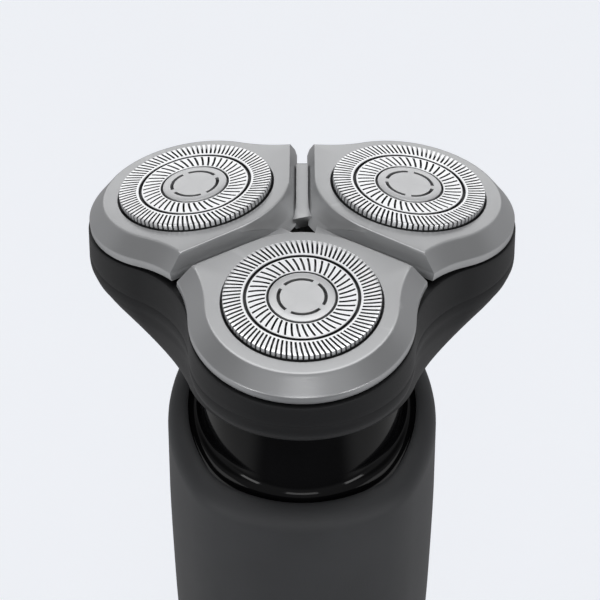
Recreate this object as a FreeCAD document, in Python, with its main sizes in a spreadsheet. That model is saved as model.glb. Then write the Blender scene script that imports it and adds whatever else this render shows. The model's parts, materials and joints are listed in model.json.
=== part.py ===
import FreeCAD, Part
import math
import os
import re
import Sketcher
from FreeCAD import Placement, Rotation, Vector

# Rotary electric shaver, upright: a handle with a motor and battery, and a
# pull-off head whose three cutting units tilt. Millimetres, +Z up, the origin
# is the centre of the flat foot.

SIZES = {
    # the three cutting units
    "unit_ring": 18.55,
    "unit_height": 158.0,
    "unit_lean": 9.0,
    "pivot_depth": 6.0,
    # petal frame, measured in the plane of its foil
    "petal_top": -0.9,
    "petal_shoulder": -3.4,
    "petal_bottom": -4.65,
    "petal_radius": 14.1,
    "petal_flare": 2.45,
    "petal_wall": 1.2,
    "petal_hole": 11.8,
    "gap_half_top": 1.95,
    "gap_half_bottom": 0.85,
    "valley_side": 34.09,
    "valley_out": 1.12,
    "valley_radius": 20.0,
    "lug_side": 13.0,
    "lug_wall": 1.2,
    "lug_radius": 1.3,
    "pin_radius": 0.6,
    "pin_play": 0.06,
    # foil, trim, cutter
    "foil_radius": 11.5,
    "foil_wall": 0.35,
    "foil_drop": 2.1,
    "flange_radius": 12.7,
    "track_split_in": 8.07,
    "track_split_out": 8.5,
    "track_in": 5.15,
    "outer_slots": 90,
    "inner_slots": 45,
    "slot_width": 0.3,
    "outer_sweep": 3.0,
    "inner_sweep": 6.0,
    "foil_sunk": 0.5,
    "trim_radius": 4.85,
    "trim_top": 0.1,
    "stem_radius": 1.2,
    "cutter_gap": 0.12,
    "cutter_blades": 15,
    "blade_height": 1.6,
    "blade_disc": 0.5,
    "blade_width": 0.5,
    "hub_radius": 3.2,
    "socket_flats": 3.9,
    "tip_flats": 3.2,
    # gear train
    "sun_teeth": 16,
    "planet_teeth": 28,
    "gear_low": 144.6,
    "gear_thick": 2.4,
    "spindle_radius": 2.0,
    "spindle_play": 0.08,
    "spindle_foot": 1.5,
    "neck_radius": 0.95,
    "tip_half": 1.3,
    "gear_boss": 3.6,
    "boss_drop": 4.4,
    "coupling_radius": 5.4,
    "sun_bore": 1.6,
    # head housing
    "lobe_centre": 18.1,
    "lobe_radius": 16.5,
    "valley_centre": 39.35,
    "rim_gap": 0.4,
    "rim_flat": 153.1,
    "band_low": 144.5,
    "funnel_low": 131.0,
    "head_low": 130.6,
    "funnel_radius": 17.8,
    "head_wall": 1.6,
    "plate_low": 148.0,
    "plate_thick": 1.2,
    "cover_low": 141.2,
    "cover_thick": 1.2,
    "pillar_ring": 11.0,
    "pillar_radius": 1.9,
    "bush_radius": 2.2,
    "sun_bush_radius": 4.2,
    "post_gap": 0.35,
    "spigot_radius": 12.8,
    "spigot_low": 122.6,
    "spigot_bore": 7.2,
    "screw_radius": 0.9,
    "screw_head": 1.8,
    # divider
    "bar_top": 157.0,
    "bar_half": 0.85,
    "bar_inner": 4.0,
    "bar_outer": 17.4,
    "web_half": 0.35,
    # handle
    "handle_half": 20.6,
    "waist_half": 18.9,
    "waist_height": 66.0,
    "handle_low": 14.0,
    "handle_wall": 1.8,
    "rim_slope": 16.0,
    "rim_centre": 123.3,
    "rim_wall": 3.1,
    "collar_radius": 15.6,
    "collar_top": 130.3,
    "collar_low": 113.0,
    "well_radius": 13.1,
    "latch_low": 125.0,
    "latch_high": 126.2,
    "latch_deep": 0.9,
    "cap_half": 19.4,
    "cap_wall": 2.0,
    "cap_neck": 4.0,
    "boss_side": 9.0,
    "boss_front": -3.0,
    "boss_radius": 3.0,
    "cap_screw_radius": 1.2,
    "cap_screw_head": 2.3,
    # drive and power
    "motor_radius": 11.9,
    "motor_low": 88.6,
    "motor_high": 119.6,
    "motor_wall": 1.5,
    "motor_screw_ring": 8.0,
    "rotor_radius": 8.4,
    "shaft_radius": 1.0,
    "shaft_play": 0.06,
    "coupler_low": 122.4,
    "coupler_high": 129.0,
    "coupler_flats": 4.6,
    "coupling_flats": 5.4,
    "battery_radius": 7.1,
    "battery_low": 24.0,
    "battery_high": 74.0,
    "battery_back": 4.0,
    "frame_half": 11.0,
    "frame_front": -11.0,
    "frame_deep": 24.4,
    "frame_wall": 1.4,
    "shelf_thick": 1.6,
    "shelf_low": 21.6,
    "shelf_middle": 76.6,
    "shelf_high": 86.8,
    "button_height": 83.0,
    "button_radius": 6.4,
    "lens_radius": 1.35,
    "lens_drop": 13.0,
    "port_height": 7.6,
    "port_wide": 8.94,
    "port_tall": 3.2,
    "board_front": -12.4,
    "board_thick": 1.2,
}

SIDES = {"front": -90.0, "right": 30.0, "left": 150.0}
GAPS = (-30.0, 90.0, 210.0)

doc = FreeCAD.newDocument("RotaryShaver")
sheet = doc.addObject("Spreadsheet::Sheet", "Sizes")
for row, (alias, amount) in enumerate(SIZES.items(), start=1):
    sheet.set(f"A{row}", alias)
    sheet.set(f"B{row}", str(amount))
    sheet.setAlias(f"B{row}", alias)
doc.recompute()

WORD = re.compile(r"\b(" + "|".join(sorted(SIZES, key=len, reverse=True)) + r")\b")
parts = {}


# --- reading the sheet ---------------------------------------------------------

def bound(text):
    return WORD.sub(r"Sizes.\1", text)


def size(text):
    return float(sheet.evalExpression(bound(text)))


def polar(radius, degrees, height=0.0):
    turn = math.radians(degrees)
    return Vector(radius * math.cos(turn), radius * math.sin(turn), height)


def turned_place(degrees, base=Vector(0, 0, 0)):
    return Placement(base, Rotation(Vector(0, 0, 1), degrees))


def unit_place(degrees):
    """The frame of one cutting unit: +X outward, +Z square to its foil."""
    lean = Rotation(Vector(0, 1, 0), size("unit_lean"))
    heading = Rotation(Vector(0, 0, 1), degrees)
    base = polar(size("unit_ring"), degrees, size("unit_height"))
    return Placement(base, heading.multiply(lean))


def spindle_ring():
    return size("unit_ring") - size("pivot_depth") * math.sin(math.radians(size("unit_lean")))


def pivot_height():
    return size("unit_height") - size("pivot_depth") * math.cos(math.radians(size("unit_lean")))


# --- sketches and bodies -------------------------------------------------------

def new_body(label):
    body = doc.addObject("PartDesign::Body", label)
    body.Label = label
    parts[label] = body
    return body


def sketch_on(body, role, lift=0.0):
    plane = [item for item in body.Origin.OriginFeatures if item.Role == role][0]
    sketch = body.newObject("Sketcher::SketchObject", body.Label + "_sketch")
    sketch.AttachmentSupport = [(plane, "")]
    sketch.MapMode = "FlatFace"
    sketch.AttachmentOffset = Placement(Vector(0, 0, lift), Rotation())
    return sketch


def draw_outline(sketch, corners):
    """A closed outline whose corners are tied to the sheet, one by one."""
    spots = [Vector(size(str(across)), size(str(up)), 0) for across, up in corners]
    lines = [Part.LineSegment(spot, spots[(index + 1) % len(spots)])
             for index, spot in enumerate(spots)]
    sketch.addGeometry(lines, False)
    ties = [Sketcher.Constraint("Coincident", index, 2, (index + 1) % len(lines), 1)
            for index in range(len(lines))]
    sketch.addConstraint(ties)
    for index, (across, up) in enumerate(corners):
        spot = spots[index]
        for kind, text, amount in (("DistanceX", across, spot.x), ("DistanceY", up, spot.y)):
            number = sketch.addConstraint(Sketcher.Constraint(kind, index, 1, amount))
            if isinstance(text, str):
                sketch.setExpression(f"Constraints[{number}]", bound(text))


def draw_circle(sketch, across, up, radius):
    centre = Vector(size(str(across)), size(str(up)), 0)
    circle = sketch.addGeometry(Part.Circle(centre, Vector(0, 0, 1), size(str(radius))), False)
    for kind, text, amount in (("DistanceX", across, centre.x), ("DistanceY", up, centre.y)):
        number = sketch.addConstraint(Sketcher.Constraint(kind, circle, 3, amount))
        if isinstance(text, str):
            sketch.setExpression(f"Constraints[{number}]", bound(text))
    number = sketch.addConstraint(Sketcher.Constraint("Radius", circle, size(str(radius))))
    if isinstance(radius, str):
        sketch.setExpression(f"Constraints[{number}]", bound(radius))


def turned(label, outline, place=Placement()):
    """A turned piece: its half section, radius against height, about Z."""
    body = new_body(label)
    sketch = sketch_on(body, "XZ_Plane")
    draw_outline(sketch, outline)
    turning = body.newObject("PartDesign::Revolution", label + "_turning")
    turning.Profile = sketch
    turning.ReferenceAxis = (sketch, ["V_Axis"])
    turning.Angle = 360.0
    sketch.Visibility = False
    body.Placement = place
    return body


def cut_through(body, draw, low, high):
    """A straight pocket between two heights; draw(sketch) gives its outline."""
    sketch = sketch_on(body, "XY_Plane", size(str(low)))
    draw(sketch)
    pocket = body.newObject("PartDesign::Pocket", body.Label + "_pocket")
    pocket.Profile = sketch
    pocket.Reversed = True
    pocket.Type = "Length"
    pocket.Length = size(str(high)) - size(str(low))
    if isinstance(high, str):
        pocket.setExpression("Length", f"{bound(high)} - ({bound(str(low))})")
    return pocket


def hexagon(flats):
    """Corners of a hexagon, flat to flat, as sheet expressions."""
    return [(f"{flats} / 2 / cos(30) * cos({60 * step})", f"{flats} / 2 / cos(30) * sin({60 * step})")
            for step in range(6)]


def keep(label, shape, place=Placement()):
    piece = doc.addObject("Part::Feature", label)
    piece.Label = label
    piece.Shape = shape
    piece.Placement = place
    parts[label] = piece
    return piece


def rod(radius, low, high, at=Vector(0, 0, 0)):
    return Part.makeCylinder(radius, high - low, Vector(at.x, at.y, low))


def slab(wire, low, high):
    """A straight-sided solid on a flat outline drawn at height zero."""
    face = Part.Face(wire)
    face.translate(Vector(0, 0, low))
    return face.extrude(Vector(0, 0, high - low))


def polygon(points):
    return Part.makePolygon(list(points) + [points[0]])


# --- cutting units -------------------------------------------------------------

def petal_form(inset, top, bottom):
    """The petal's lobe, ears and gap walls, drawn in by inset, between two heights."""
    upper = size("petal_top")
    shoulder = size("petal_shoulder")
    lower = size("petal_bottom")
    flare = size("petal_flare")

    def spread(height):
        return flare * min(1.0, max(0.0, (upper - height) / (upper - shoulder)))

    def gap(height):
        share = (upper - height) / (upper - lower)
        return size("gap_half_top") * (1 - share) + size("gap_half_bottom") * share + inset

    levels = [top, shoulder, bottom]
    radius = size("petal_radius") - inset
    lobe = Part.makePolygon([Vector(0, 0, top)]
                            + [Vector(radius + spread(level), 0, level) for level in levels]
                            + [Vector(0, 0, bottom), Vector(0, 0, top)])
    form = Part.Face(lobe).revolve(Vector(0, 0, 0), Vector(0, 0, 1), 360)
    lean = math.radians(size("unit_lean"))

    def axis_out(height):
        return (-size("unit_ring") - height * math.sin(lean)) / math.cos(lean)

    foot = -axis_out(top) * math.sin(math.radians(60))
    for side in (1, -1):
        valley = Vector(size("valley_out"), side * size("valley_side"), 0)
        wall_foot = Vector(-foot * math.sin(math.radians(60)), side * foot * 0.5, 0)
        ear = slab(polygon([Vector(0, 0, 0), valley, wall_foot]), bottom, top)
        form = form.fuse(ear)
    for side in (1, -1):
        reach = size("valley_radius") + inset
        hollow = Part.makePolygon([Vector(0, 0, top + 1), Vector(reach, 0, top + 1)]
                                  + [Vector(reach - spread(level), 0, level) for level in levels]
                                  + [Vector(reach - flare, 0, bottom - 1),
                                     Vector(0, 0, bottom - 1), Vector(0, 0, top + 1)])
        hollow = Part.Face(hollow).revolve(Vector(0, 0, 0), Vector(0, 0, 1), 360)
        hollow.translate(Vector(size("valley_out"), side * size("valley_side"), 0))
        form = form.cut(hollow)

    def wedge_wire(height):
        apex = axis_out(height) + gap(height) / math.sin(math.radians(60))
        along = 20.0
        across = along * math.sqrt(3)
        far = 30.0
        return polygon([Vector(apex, 0, height), Vector(apex + along, across, height),
                        Vector(far, across, height), Vector(far, -across, height),
                        Vector(apex + along, -across, height)])

    wedge = Part.makeLoft([wedge_wire(top + 0.5), wedge_wire(bottom - 0.5)], True, True)
    return form.common(wedge)


def petal(side, degrees):
    top = size("petal_top")
    wall = size("petal_wall")
    shell = petal_form(0.0, top, size("petal_bottom"))
    inside = petal_form(wall, top - wall, size("petal_bottom") - 0.4)
    shape = shell.cut(inside)
    shape = shape.cut(rod(size("petal_hole"), top - wall - 1, top + 1))
    depth = -size("pivot_depth")
    for way in (1, -1):
        start = way * size("lug_side")
        thick = way * size("lug_wall")
        half = size("lug_radius")
        lug = Part.makeCylinder(half, abs(thick), Vector(0, start, depth), Vector(0, way, 0))
        stem_low = min(start, start + thick)
        stem = Part.makeBox(2 * half, abs(thick), top - wall + 0.2 - depth,
                            Vector(-half, stem_low, depth))
        bore = Part.makeCylinder(size("pin_radius") + size("pin_play"), abs(thick) + 2,
                                 Vector(0, start - way, depth), Vector(0, way, 0))
        shape = shape.fuse(lug.fuse(stem)).cut(bore)
    keep(f"petal_{side}", shape.removeSplitter(), unit_place(degrees))


def slot_cutter(inner, outer, sweep, width_in, width_out, low, high):
    """One slot, leaning by sweep degrees between two radii."""
    begin = polar(inner, 0)
    finish = polar(outer, sweep)
    along = (finish - begin).normalize()
    aside = Vector(-along.y, along.x, 0)
    return slab(polygon([begin - aside * width_in / 2, finish - aside * width_out / 2,
                         finish + aside * width_out / 2, begin + aside * width_in / 2]), low, high)


def ring_of(cutter, count):
    turns = []
    for step in range(int(count)):
        piece = cutter.copy()
        piece.rotate(Vector(0, 0, 0), Vector(0, 0, 1), step * 360.0 / count)
        turns.append(piece)
    return Part.makeCompound(turns)


def foil_shape():
    wall = size("foil_wall")
    drop = size("foil_drop")
    rim = size("foil_radius")
    sunk = size("foil_sunk")
    start = size("stem_radius") + 0.05
    track = size("track_in")
    near = size("track_split_in")
    far = size("track_split_out")
    flange = size("flange_radius")
    foot = -drop - 0.4
    outline = [(start, -sunk), (track, -sunk), (track, 0), (near, 0), (near, -sunk), (far, -sunk),
               (far, 0), (rim, 0), (rim, -drop), (flange, -drop), (flange, foot), (rim - wall, foot),
               (rim - wall, -wall), (far + wall, -wall), (far + wall, -sunk - wall),
               (near - wall, -sunk - wall), (near - wall, -wall), (track + wall, -wall),
               (track + wall, -sunk - wall), (start, -sunk - wall)]
    face = Part.Face(polygon([Vector(across, 0, up) for across, up in outline]))
    shape = face.revolve(Vector(0, 0, 0), Vector(0, 0, 1), 360)
    width = size("slot_width")
    outer = slot_cutter(far + wall + 0.02, rim + 0.3, size("outer_sweep"),
                        width, width * 1.15, -0.8, 0.2)
    inner = slot_cutter(track + 0.2, near - 0.25, size("inner_sweep"),
                        width * 0.9, width * 1.3, -wall - 0.1, 0.2)
    shape = shape.cut(ring_of(outer, size("outer_slots")))
    return shape.cut(ring_of(inner, size("inner_slots")))


def foil_trim(side, degrees):
    """The light disc in the middle of a foil, with four arc slots and a stem."""
    top = size("trim_top")
    shape = rod(size("trim_radius"), -0.45, top).fuse(rod(size("stem_radius"), -1.35, -0.4))
    ring = size("trim_radius") * 0.71
    for turn in range(4):
        sector = rod(ring + 0.25, -0.2, top + 1).cut(rod(ring - 0.25, -1, top + 2))
        window = slab(polygon([Vector(0, 0, 0), polar(8, -36), polar(9, 0), polar(8, 36)]), -1, top + 2)
        arc = sector.common(window)
        arc.rotate(Vector(0, 0, 0), Vector(0, 0, 1), 90 * turn + 10)
        shape = shape.cut(arc)
    keep(f"foil_trim_{side}", shape.removeSplitter(), unit_place(degrees))


def cutter(side, degrees):
    """A ring of blades for each track, on one thin steel disc."""
    wall = size("foil_wall")
    high = -wall - size("cutter_gap")
    low = high - size("blade_height")
    width = size("blade_width")
    outer_rim = size("foil_radius") - wall - 0.35
    ring = rod(outer_rim, low - size("blade_disc"), low)
    ring = ring.cut(rod(size("hub_radius") + 0.05, low - 1, low + 1))
    blades = int(size("cutter_blades"))
    outer_blade = slot_cutter(size("track_split_out") + wall + 0.15, outer_rim - 0.15, -7.0,
                              width, width, low, high)
    inner_blade = slot_cutter(size("track_in") + wall + 0.15, size("track_split_in") - wall - 0.15, -9.0,
                              0.9 * width, 0.9 * width, low, high)
    shape = ring
    for step in range(blades):
        for blade in (outer_blade, inner_blade):
            piece = blade.copy()
            piece.rotate(Vector(0, 0, 0), Vector(0, 0, 1), step * 360.0 / blades)
            shape = shape.fuse(piece)
    keep(f"cutter_{side}", shape.removeSplitter(), unit_place(degrees))


def cutter_carrier(side, degrees):
    """The plastic hub under a cutter, with the hexagonal drive socket below."""
    disc_high = "-foil_wall - cutter_gap - blade_height - blade_disc"
    disc_low = disc_high + " - 0.9"
    label = f"cutter_carrier_{side}"
    body = turned(label, [(0, disc_high + " + 0.5"), ("hub_radius", disc_high + " + 0.5"),
                          ("hub_radius", disc_high), ("foil_radius - 1.6", disc_high),
                          ("foil_radius - 1.6", disc_low), ("hub_radius", disc_low),
                          ("hub_radius", "-pivot_depth - 1.6"), (0, "-pivot_depth - 1.6")],
                  unit_place(degrees))
    cut_through(body, lambda sketch: draw_outline(sketch, hexagon("socket_flats")),
                "-pivot_depth - 1.6", "-pivot_depth + 2.2")


def retainer(side, degrees):
    top = "-foil_drop - 0.4"
    turned(f"retainer_{side}", [("foil_radius - 0.2", top), ("flange_radius", top),
                                ("flange_radius", top + " - 1"), ("foil_radius - 0.2", top + " - 1")],
           unit_place(degrees))


def spindle(side, degrees):
    """An upright drive spindle with a rounded hexagonal tip, on its own gear."""
    ring = spindle_ring()
    tip = pivot_height()
    label = f"spindle_{side}"
    base = polar(ring, degrees)
    low = size("cover_low")
    shank = rod(size("spindle_radius"), size("gear_low") - 0.6, tip - 3.0)
    foot = rod(size("spindle_foot"), low, size("gear_low") - 0.5)
    neck = rod(size("neck_radius"), tip - 3.1, tip)
    half = size("tip_half")
    flats = size("tip_flats")
    corners = [polar(flats / 2 / math.cos(math.radians(30)), 60 * step) for step in range(6)]
    knob = slab(polygon(corners), tip - half, tip + half)
    knob = knob.common(Part.makeSphere(2.0, Vector(0, 0, tip)))
    shape = shank.fuse([foot, neck, knob]).removeSplitter()
    keep(label, shape, turned_place(degrees, base))


def gear_outline(teeth, phase):
    """Plain trapezoid teeth with running backlash; phase turns one tooth's centre."""
    module = 2 * spindle_ring() / (size("sun_teeth") + size("planet_teeth"))
    pitch_radius = module * teeth / 2
    step = 2 * math.pi / teeth
    root = pitch_radius - 0.98 * module * 1.15
    tip = pitch_radius + 0.85 * module
    spots = []
    for index in range(int(teeth)):
        centre = math.radians(phase) + index * step
        for radius, share in ((root, -0.29), (tip, -0.10), (tip, 0.10), (root, 0.29)):
            angle = centre + share * step
            spots.append(Vector(radius * math.cos(angle), radius * math.sin(angle), 0))
    return polygon(spots)


def planet_gear(side, degrees):
    sun = size("sun_teeth")
    planet = size("planet_teeth")
    phase = degrees + 180 - (360 / planet) * (0.5 - degrees * sun / 360)
    low = size("gear_low")
    high = low + size("gear_thick")
    shape = slab(gear_outline(planet, phase), low, high)
    shape = shape.cut(rod(size("spindle_radius"), low - 1, high + 1))
    for turn in range(6):
        shape = shape.cut(rod(1.9, low - 1, high + 1, polar(6.3, 60 * turn)))
    keep(f"planet_gear_{side}", shape, Placement(polar(spindle_ring(), degrees), Rotation()))


# --- head housing --------------------------------------------------------------

def trefoil(grow, height=0.0):
    """Three lobes joined by three valleys, offset outward by grow, as one wire."""
    lobe = size("lobe_radius") + grow
    ring = size("lobe_centre")
    valley = size("valley_centre")
    span = math.sqrt(ring ** 2 + valley ** 2 - ring * valley)
    hollow = span - size("lobe_radius") - grow
    edges = []
    for degrees in SIDES.values():
        centre = polar(ring, degrees)
        before = polar(valley, degrees - 60)
        after = polar(valley, degrees + 60)
        joins = []
        for pivot in (before, after):
            joins.append(centre + (pivot - centre).normalize() * lobe)
        edges.append(Part.Arc(joins[0], centre + polar(lobe, degrees), joins[1]).toShape())
        next_centre = polar(ring, degrees + 120)
        next_join = next_centre + (after - next_centre).normalize() * lobe
        edges.append(Part.Arc(joins[1], after - polar(hollow, degrees + 60), next_join).toShape())
    wire = Part.Wire(edges)
    wire.translate(Vector(0, 0, height))
    return wire


def round_like_trefoil(radius, height):
    """A circle split where the trefoil's arcs end, for a loft between the two."""
    lobe = size("lobe_radius")
    ring = size("lobe_centre")
    valley = size("valley_centre")
    edges = []
    for degrees in SIDES.values():
        centre = polar(ring, degrees)
        marks = []
        for pivot in (polar(valley, degrees - 60), polar(valley, degrees + 60)):
            join = centre + (pivot - centre).normalize() * lobe
            marks.append(math.degrees(math.atan2(join.y, join.x)))
        half = ((marks[1] - marks[0]) % 360) / 2
        edges.append(Part.Arc(polar(radius, degrees - half), polar(radius, degrees),
                              polar(radius, degrees + half)).toShape())
        edges.append(Part.Arc(polar(radius, degrees + half), polar(radius, degrees + 60),
                              polar(radius, degrees + 120 - half)).toShape())
    wire = Part.Wire(edges)
    wire.translate(Vector(0, 0, height))
    return wire


def head_base():
    band = size("band_low")
    low = size("funnel_low")
    wall = size("head_wall")
    plate = size("plate_low")
    top = size("unit_height")
    outer = slab(trefoil(0.0), band, top).fuse(
        Part.makeLoft([trefoil(0.0, band), round_like_trefoil(size("funnel_radius"), low)], True, True))
    outer = outer.fuse(rod(size("funnel_radius"), size("head_low"), low))
    outer = outer.cut(Part.makeBox(90, 90, 20, Vector(-45, -45, size("rim_flat"))))
    for degrees in SIDES.values():
        above = Part.makeBox(120, 120, 30, Vector(-60, -60, size("petal_bottom") - size("rim_gap")))
        above.Placement = unit_place(degrees)
        outer = outer.cut(above)
    upper_room = slab(trefoil(-wall), plate, top)
    lower_room = slab(trefoil(-wall - 1.0), band, plate)
    funnel_room = Part.makeLoft([trefoil(-wall - 1.0, band),
                                 round_like_trefoil(size("funnel_radius") - 3.0, low + 2.2)], True, True)
    shape = outer.cut(upper_room).cut(lower_room).cut(funnel_room)
    spigot = rod(size("spigot_radius"), size("spigot_low"), size("head_low") + 0.5)
    shape = shape.fuse(spigot).cut(rod(size("spigot_bore"), size("spigot_low") - 1, low + 4))
    keep("head_base", shape.removeSplitter())


def gearbox_plate():
    low = size("plate_low")
    high = low + size("plate_thick")
    shape = slab(trefoil(-size("head_wall") - 0.15), low, high)
    for degrees in SIDES.values():
        hub = polar(spindle_ring(), degrees)
        shape = shape.cut(rod(size("spindle_radius") + size("spindle_play"), low - 1, high + 1, hub))
        for way in (1, -1):
            near = size("lug_side") - size("post_gap")
            post = Part.makeBox(3.2, 1.4, pivot_height() + 1.15 - high + 0.2,
                                Vector(spindle_ring() - 1.6, near - 1.4 if way > 0 else -near, high - 0.2))
            post.Placement = turned_place(degrees).multiply(post.Placement)
            hole = Part.makeCylinder(size("pin_radius"), 4.0,
                                     Vector(spindle_ring(), way * (near - 2.4), pivot_height()),
                                     Vector(0, way, 0))
            hole.Placement = turned_place(degrees).multiply(hole.Placement)
            shape = shape.fuse(post).cut(hole)
    for degrees in GAPS:
        shape = shape.cut(rod(size("screw_radius"), low - 1, high + 1, polar(size("pillar_ring"), degrees)))
    keep("gearbox_plate", shape.removeSplitter())


def gearbox_cover():
    low = size("cover_low")
    high = low + size("cover_thick")
    shape = slab(trefoil(-8.6), low, high)
    for degrees in GAPS:
        place = polar(size("pillar_ring"), degrees)
        shape = shape.fuse(rod(size("pillar_radius"), low, size("plate_low"), place))
        shape = shape.cut(rod(size("screw_radius") + 0.05, low - 1, size("plate_low") + 1, place))
    for degrees in SIDES.values():
        shape = shape.cut(rod(size("bush_radius"), low - 1, high + 1, polar(spindle_ring(), degrees)))
    shape = shape.cut(rod(size("sun_bush_radius"), low - 1, high + 1))
    keep("gearbox_cover", shape.removeSplitter())


def group(label, solids):
    keep(label, Part.makeCompound(solids))


def pivot_pins():
    solids = []
    for degrees in SIDES.values():
        for way in (1, -1):
            near = size("lug_side") - size("post_gap")
            pin = Part.makeCylinder(size("pin_radius"), 2.8,
                                    Vector(spindle_ring(), way * (near - 1.3), pivot_height()),
                                    Vector(0, way, 0))
            pin.Placement = turned_place(degrees).multiply(pin.Placement)
            solids.append(pin)
    group("pivot_pins", solids)


def gearbox_bushes():
    """Brass bushes in the cover: one for each spindle's foot and one for the sun gear's shaft."""
    low = size("cover_low")
    high = low + size("cover_thick")
    seats = [(size("bush_radius"), size("spindle_foot"), polar(spindle_ring(), degrees))
             for degrees in SIDES.values()]
    seats.append((size("sun_bush_radius"), size("gear_boss"), Vector(0, 0, 0)))
    solids = []
    for outer, inner, centre in seats:
        bore = rod(inner + size("spindle_play"), low - 1, high + 1, centre)
        solids.append(rod(outer, low, high, centre).cut(bore))
    group("gearbox_bushes", solids)


def screw(radius, head_radius, head_low, head_high, tip):
    """A screw from below: head, shank up to tip and a cross recess."""
    shape = rod(head_radius, head_low, head_high).fuse(rod(radius, head_high - 0.1, tip))
    for turn in (0, 90):
        bar = Part.makeBox(head_radius * 1.3, head_radius * 0.25, 0.5,
                           Vector(-head_radius * 0.65, -head_radius * 0.125, head_low - 0.1))
        bar.rotate(Vector(0, 0, 0), Vector(0, 0, 1), turn)
        shape = shape.cut(bar)
    return shape


def screw_group(label, solid, places):
    solids = []
    for place in places:
        piece = solid.copy()
        piece.translate(place)
        solids.append(piece)
    group(label, solids)


def divider():
    """Three bars in the gaps, each on a thin web that stands on the gearbox plate."""
    top = size("bar_top")
    floor = size("plate_low") + size("plate_thick")
    inner = size("bar_inner")
    outer = size("bar_outer")
    half = size("bar_half")
    web = size("web_half")
    shape = rod(1.1, floor, top - 3.4)
    for degrees in GAPS:
        upper = polygon([Vector(inner - 1.2, 0.9, top), Vector(inner, -0.9, top),
                         Vector(outer, -half, top), Vector(outer, half, top)])
        lower = polygon([Vector(inner - 1.2, web, top - 2.0), Vector(inner, -web, top - 2.0),
                         Vector(outer, -web, top - 2.0), Vector(outer, web, top - 2.0)])
        bar = Part.makeLoft([upper, lower], True, True)
        wing = Part.makeBox(outer - 0.4, 2 * web, top - 1.9 - floor, Vector(0.4, -web, floor))
        wing = wing.cut(Part.makeBox(inner - 0.6, 4, 10, Vector(0, -2, top - 3.4)))
        arm = bar.fuse(wing)
        arm.rotate(Vector(0, 0, 0), Vector(0, 0, 1), degrees)
        shape = shape.fuse(arm)
    keep("divider", shape.removeSplitter())


def sun_gear():
    low = size("gear_low")
    high = low + size("gear_thick")
    shape = slab(gear_outline(size("sun_teeth"), 0.0), low, high)
    shape = shape.fuse(rod(size("gear_boss"), low - size("boss_drop"), low + 0.1))
    shape = shape.cut(rod(size("sun_bore"), low - 5, high + 1))
    keep("sun_gear", shape.removeSplitter())


def coupling_socket():
    """The shaft under the sun gear, ending in a hexagonal socket for the motor's coupler."""
    top = "gear_low + gear_thick"
    shoulder = "gear_low - boss_drop"
    body = turned("coupling_socket", [(0, top), ("sun_bore", top), ("sun_bore", shoulder),
                                      ("coupling_radius", shoulder),
                                      ("coupling_radius", "spigot_low + 0.2"), (0, "spigot_low + 0.2")])
    cut_through(body, lambda sketch: draw_outline(sketch, hexagon("coupling_flats")),
                "spigot_low + 0.2", "coupler_high + 1.2")


# --- handle --------------------------------------------------------------------

def squircle(half, height):
    """A square with swollen sides: four side arcs and four corner arcs, all tangent."""
    side = 1.262 * half
    centre = 0.379 * half
    away = side - half
    lean = math.degrees(math.atan2(centre, centre + away))
    edges = []
    for turn in (0, 90, 180, 270):
        spin = Rotation(Vector(0, 0, 1), turn)
        hub = Vector(-away, 0, 0)
        start = hub + polar(side, -lean)
        end = hub + polar(side, lean)
        flank = Part.Arc(spin.multVec(start), spin.multVec(Vector(half, 0, 0)), spin.multVec(end))
        edges.append(flank.toShape())
        corner = Vector(centre, centre, 0)
        bend = (end - corner).Length
        after = Rotation(Vector(0, 0, 1), 90).multVec(start)
        middle = corner + polar(bend, 45)
        edges.append(Part.Arc(spin.multVec(end), spin.multVec(middle), spin.multVec(after)).toShape())
    wire = Part.Wire(edges)
    wire.translate(Vector(0, 0, height))
    return wire


def handle_form(inset):
    """The grip's solid form drawn in by inset, from just below its foot to above its rim."""
    half = size("handle_half") - inset
    waist = size("waist_half") - inset
    foot = size("cap_half") - inset
    low = size("handle_low") - 1
    middle = size("waist_height")
    return Part.makeLoft([squircle(foot, low), squircle((waist + foot) / 2 + 0.1, (low + middle) / 2),
                          squircle(waist, middle), squircle((waist + 2 * half) / 3, middle + 24),
                          squircle(half, middle + 48), squircle(half, middle + 80)], True, False)


def rim_cut(drop):
    """Everything above the leaning rim plane, lowered by drop."""
    block = Part.makeBox(90, 90, 60, Vector(-45, -45, 0))
    lean = Rotation(Vector(1, 0, 0), size("rim_slope"))
    block.Placement = Placement(Vector(0, 0, size("rim_centre") - drop), lean)
    return block


def handle_slice(inset, upper, lower):
    """The part of the handle's form between two planes below the leaning rim."""
    return handle_form(inset).cut(rim_cut(upper)).common(rim_cut(lower))


def front_rod(radius, height, outer, inner):
    """A cylinder along Y at the handle's front, from outer to inner depth."""
    return Part.makeCylinder(radius, inner - outer, Vector(0, outer, height), Vector(0, 1, 0))


def handle_shell():
    low = size("handle_low")
    below = Part.makeBox(90, 90, 40, Vector(-45, -45, low - 40))
    shape = handle_form(0.0).cut(handle_form(size("handle_wall"))).cut(rim_cut(0.0)).cut(below)
    lip = handle_slice(size("handle_wall") - 0.3, 0.0, 3.0).cut(handle_form(size("rim_wall")))
    shape = shape.fuse(lip)
    front = -size("handle_half") - 2
    shape = shape.cut(front_rod(size("button_radius") + 1.2, size("button_height"), front, 0))
    lens = size("button_height") - size("lens_drop")
    shape = shape.cut(front_rod(size("lens_radius") + 0.03, lens, front, 0))
    keep("handle_shell", shape.removeSplitter())


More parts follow.
